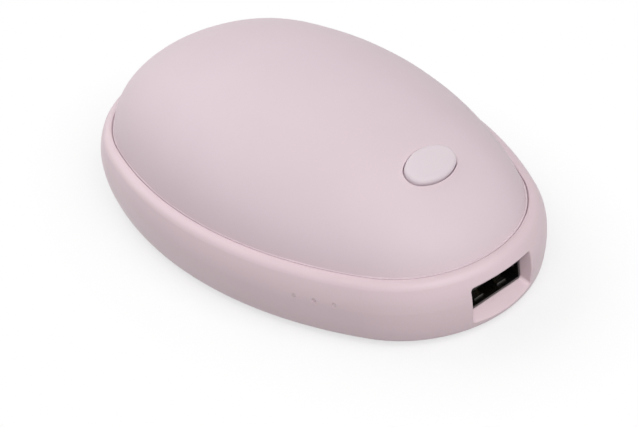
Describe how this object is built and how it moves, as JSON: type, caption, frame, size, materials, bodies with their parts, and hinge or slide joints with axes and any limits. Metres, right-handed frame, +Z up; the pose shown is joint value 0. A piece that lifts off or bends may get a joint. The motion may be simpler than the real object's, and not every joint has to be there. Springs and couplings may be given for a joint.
{
  "type": "rechargeable hand warmer",
  "caption": "Pebble-shaped rechargeable hand warmer: matt dome with an oval press button, smooth band with a USB outlet at the narrow end, flat-bottomed base.",
  "frame": {"origin": "on the resting face, under the middle of the outline", "axes": "+X along the length toward the USB outlet, +Y toward the charging inlet's side, +Z up through the dome"},
  "size_m": [0.1055, 0.0662, 0.0332],
  "materials": {
    "dome_plastic": "matt, soft to the touch",
    "button_plastic": "matt",
    "band_plastic": "satin",
    "plated_sheet": "nickel plated",
    "black_plastic": "moulded",
    "gilt_contact": "plated",
    "board_laminate": "lacquered laminate",
    "can_metal": "drawn",
    "lamp_lens": "clear, moulded",
    "tray_plastic": "moulded",
    "cell_foil": "pouch foil",
    "tape_foam": "foam",
    "screw_steel": "zinc plated",
    "bare_foil": "rolled",
    "film_amber": "polyimide film",
    "lead_red": "insulated wire",
    "lead_black": "insulated wire"
  },
  "bodies": {
    "housing": {"upper_dome": "dome_plastic", "middle_band": "band_plastic", "base_cover": "band_plastic", "usb_shell": "plated_sheet", "inlet_shell": "plated_sheet", "cell_tabs": "plated_sheet", "usb_tongue": "black_plastic", "inlet_tongue": "black_plastic", "usb_contacts": "gilt_contact", "switch_body": "black_plastic", "power_chip": "black_plastic", "boost_coil": "black_plastic", "main_board": "board_laminate", "switch_board": "board_laminate", "guard_board": "board_laminate", "capacitors": "can_metal", "indicator_lamps": "lamp_lens", "light_guide": "lamp_lens", "cell_tray": "tray_plastic", "lower_cell": "cell_foil", "upper_cell": "cell_foil", "cell_tape": "tape_foam", "tray_screws": "screw_steel", "board_screws": "screw_steel", "dome_screws": "screw_steel", "switch_screws": "screw_steel", "spreader_foil": "bare_foil", "upper_heater": "film_amber", "lower_heater": "film_amber", "upper_heater_leads": "lead_red", "lower_heater_leads": "lead_red", "cell_leads": "lead_red", "switch_leads": "lead_black", "heat_sensor": "lead_black"},
    "button": {"power_button": "button_plastic", "switch_plunger": "black_plastic"}
  },
  "joints": [
    {"name": "button_press", "type": "slide", "parent": "housing", "child": "button", "axis": [-0.4084, 0, -0.9128], "range_m": [0, 0.0005], "stiffness_N_per_m": 600, "springref_m": -0.0003}
  ]
}
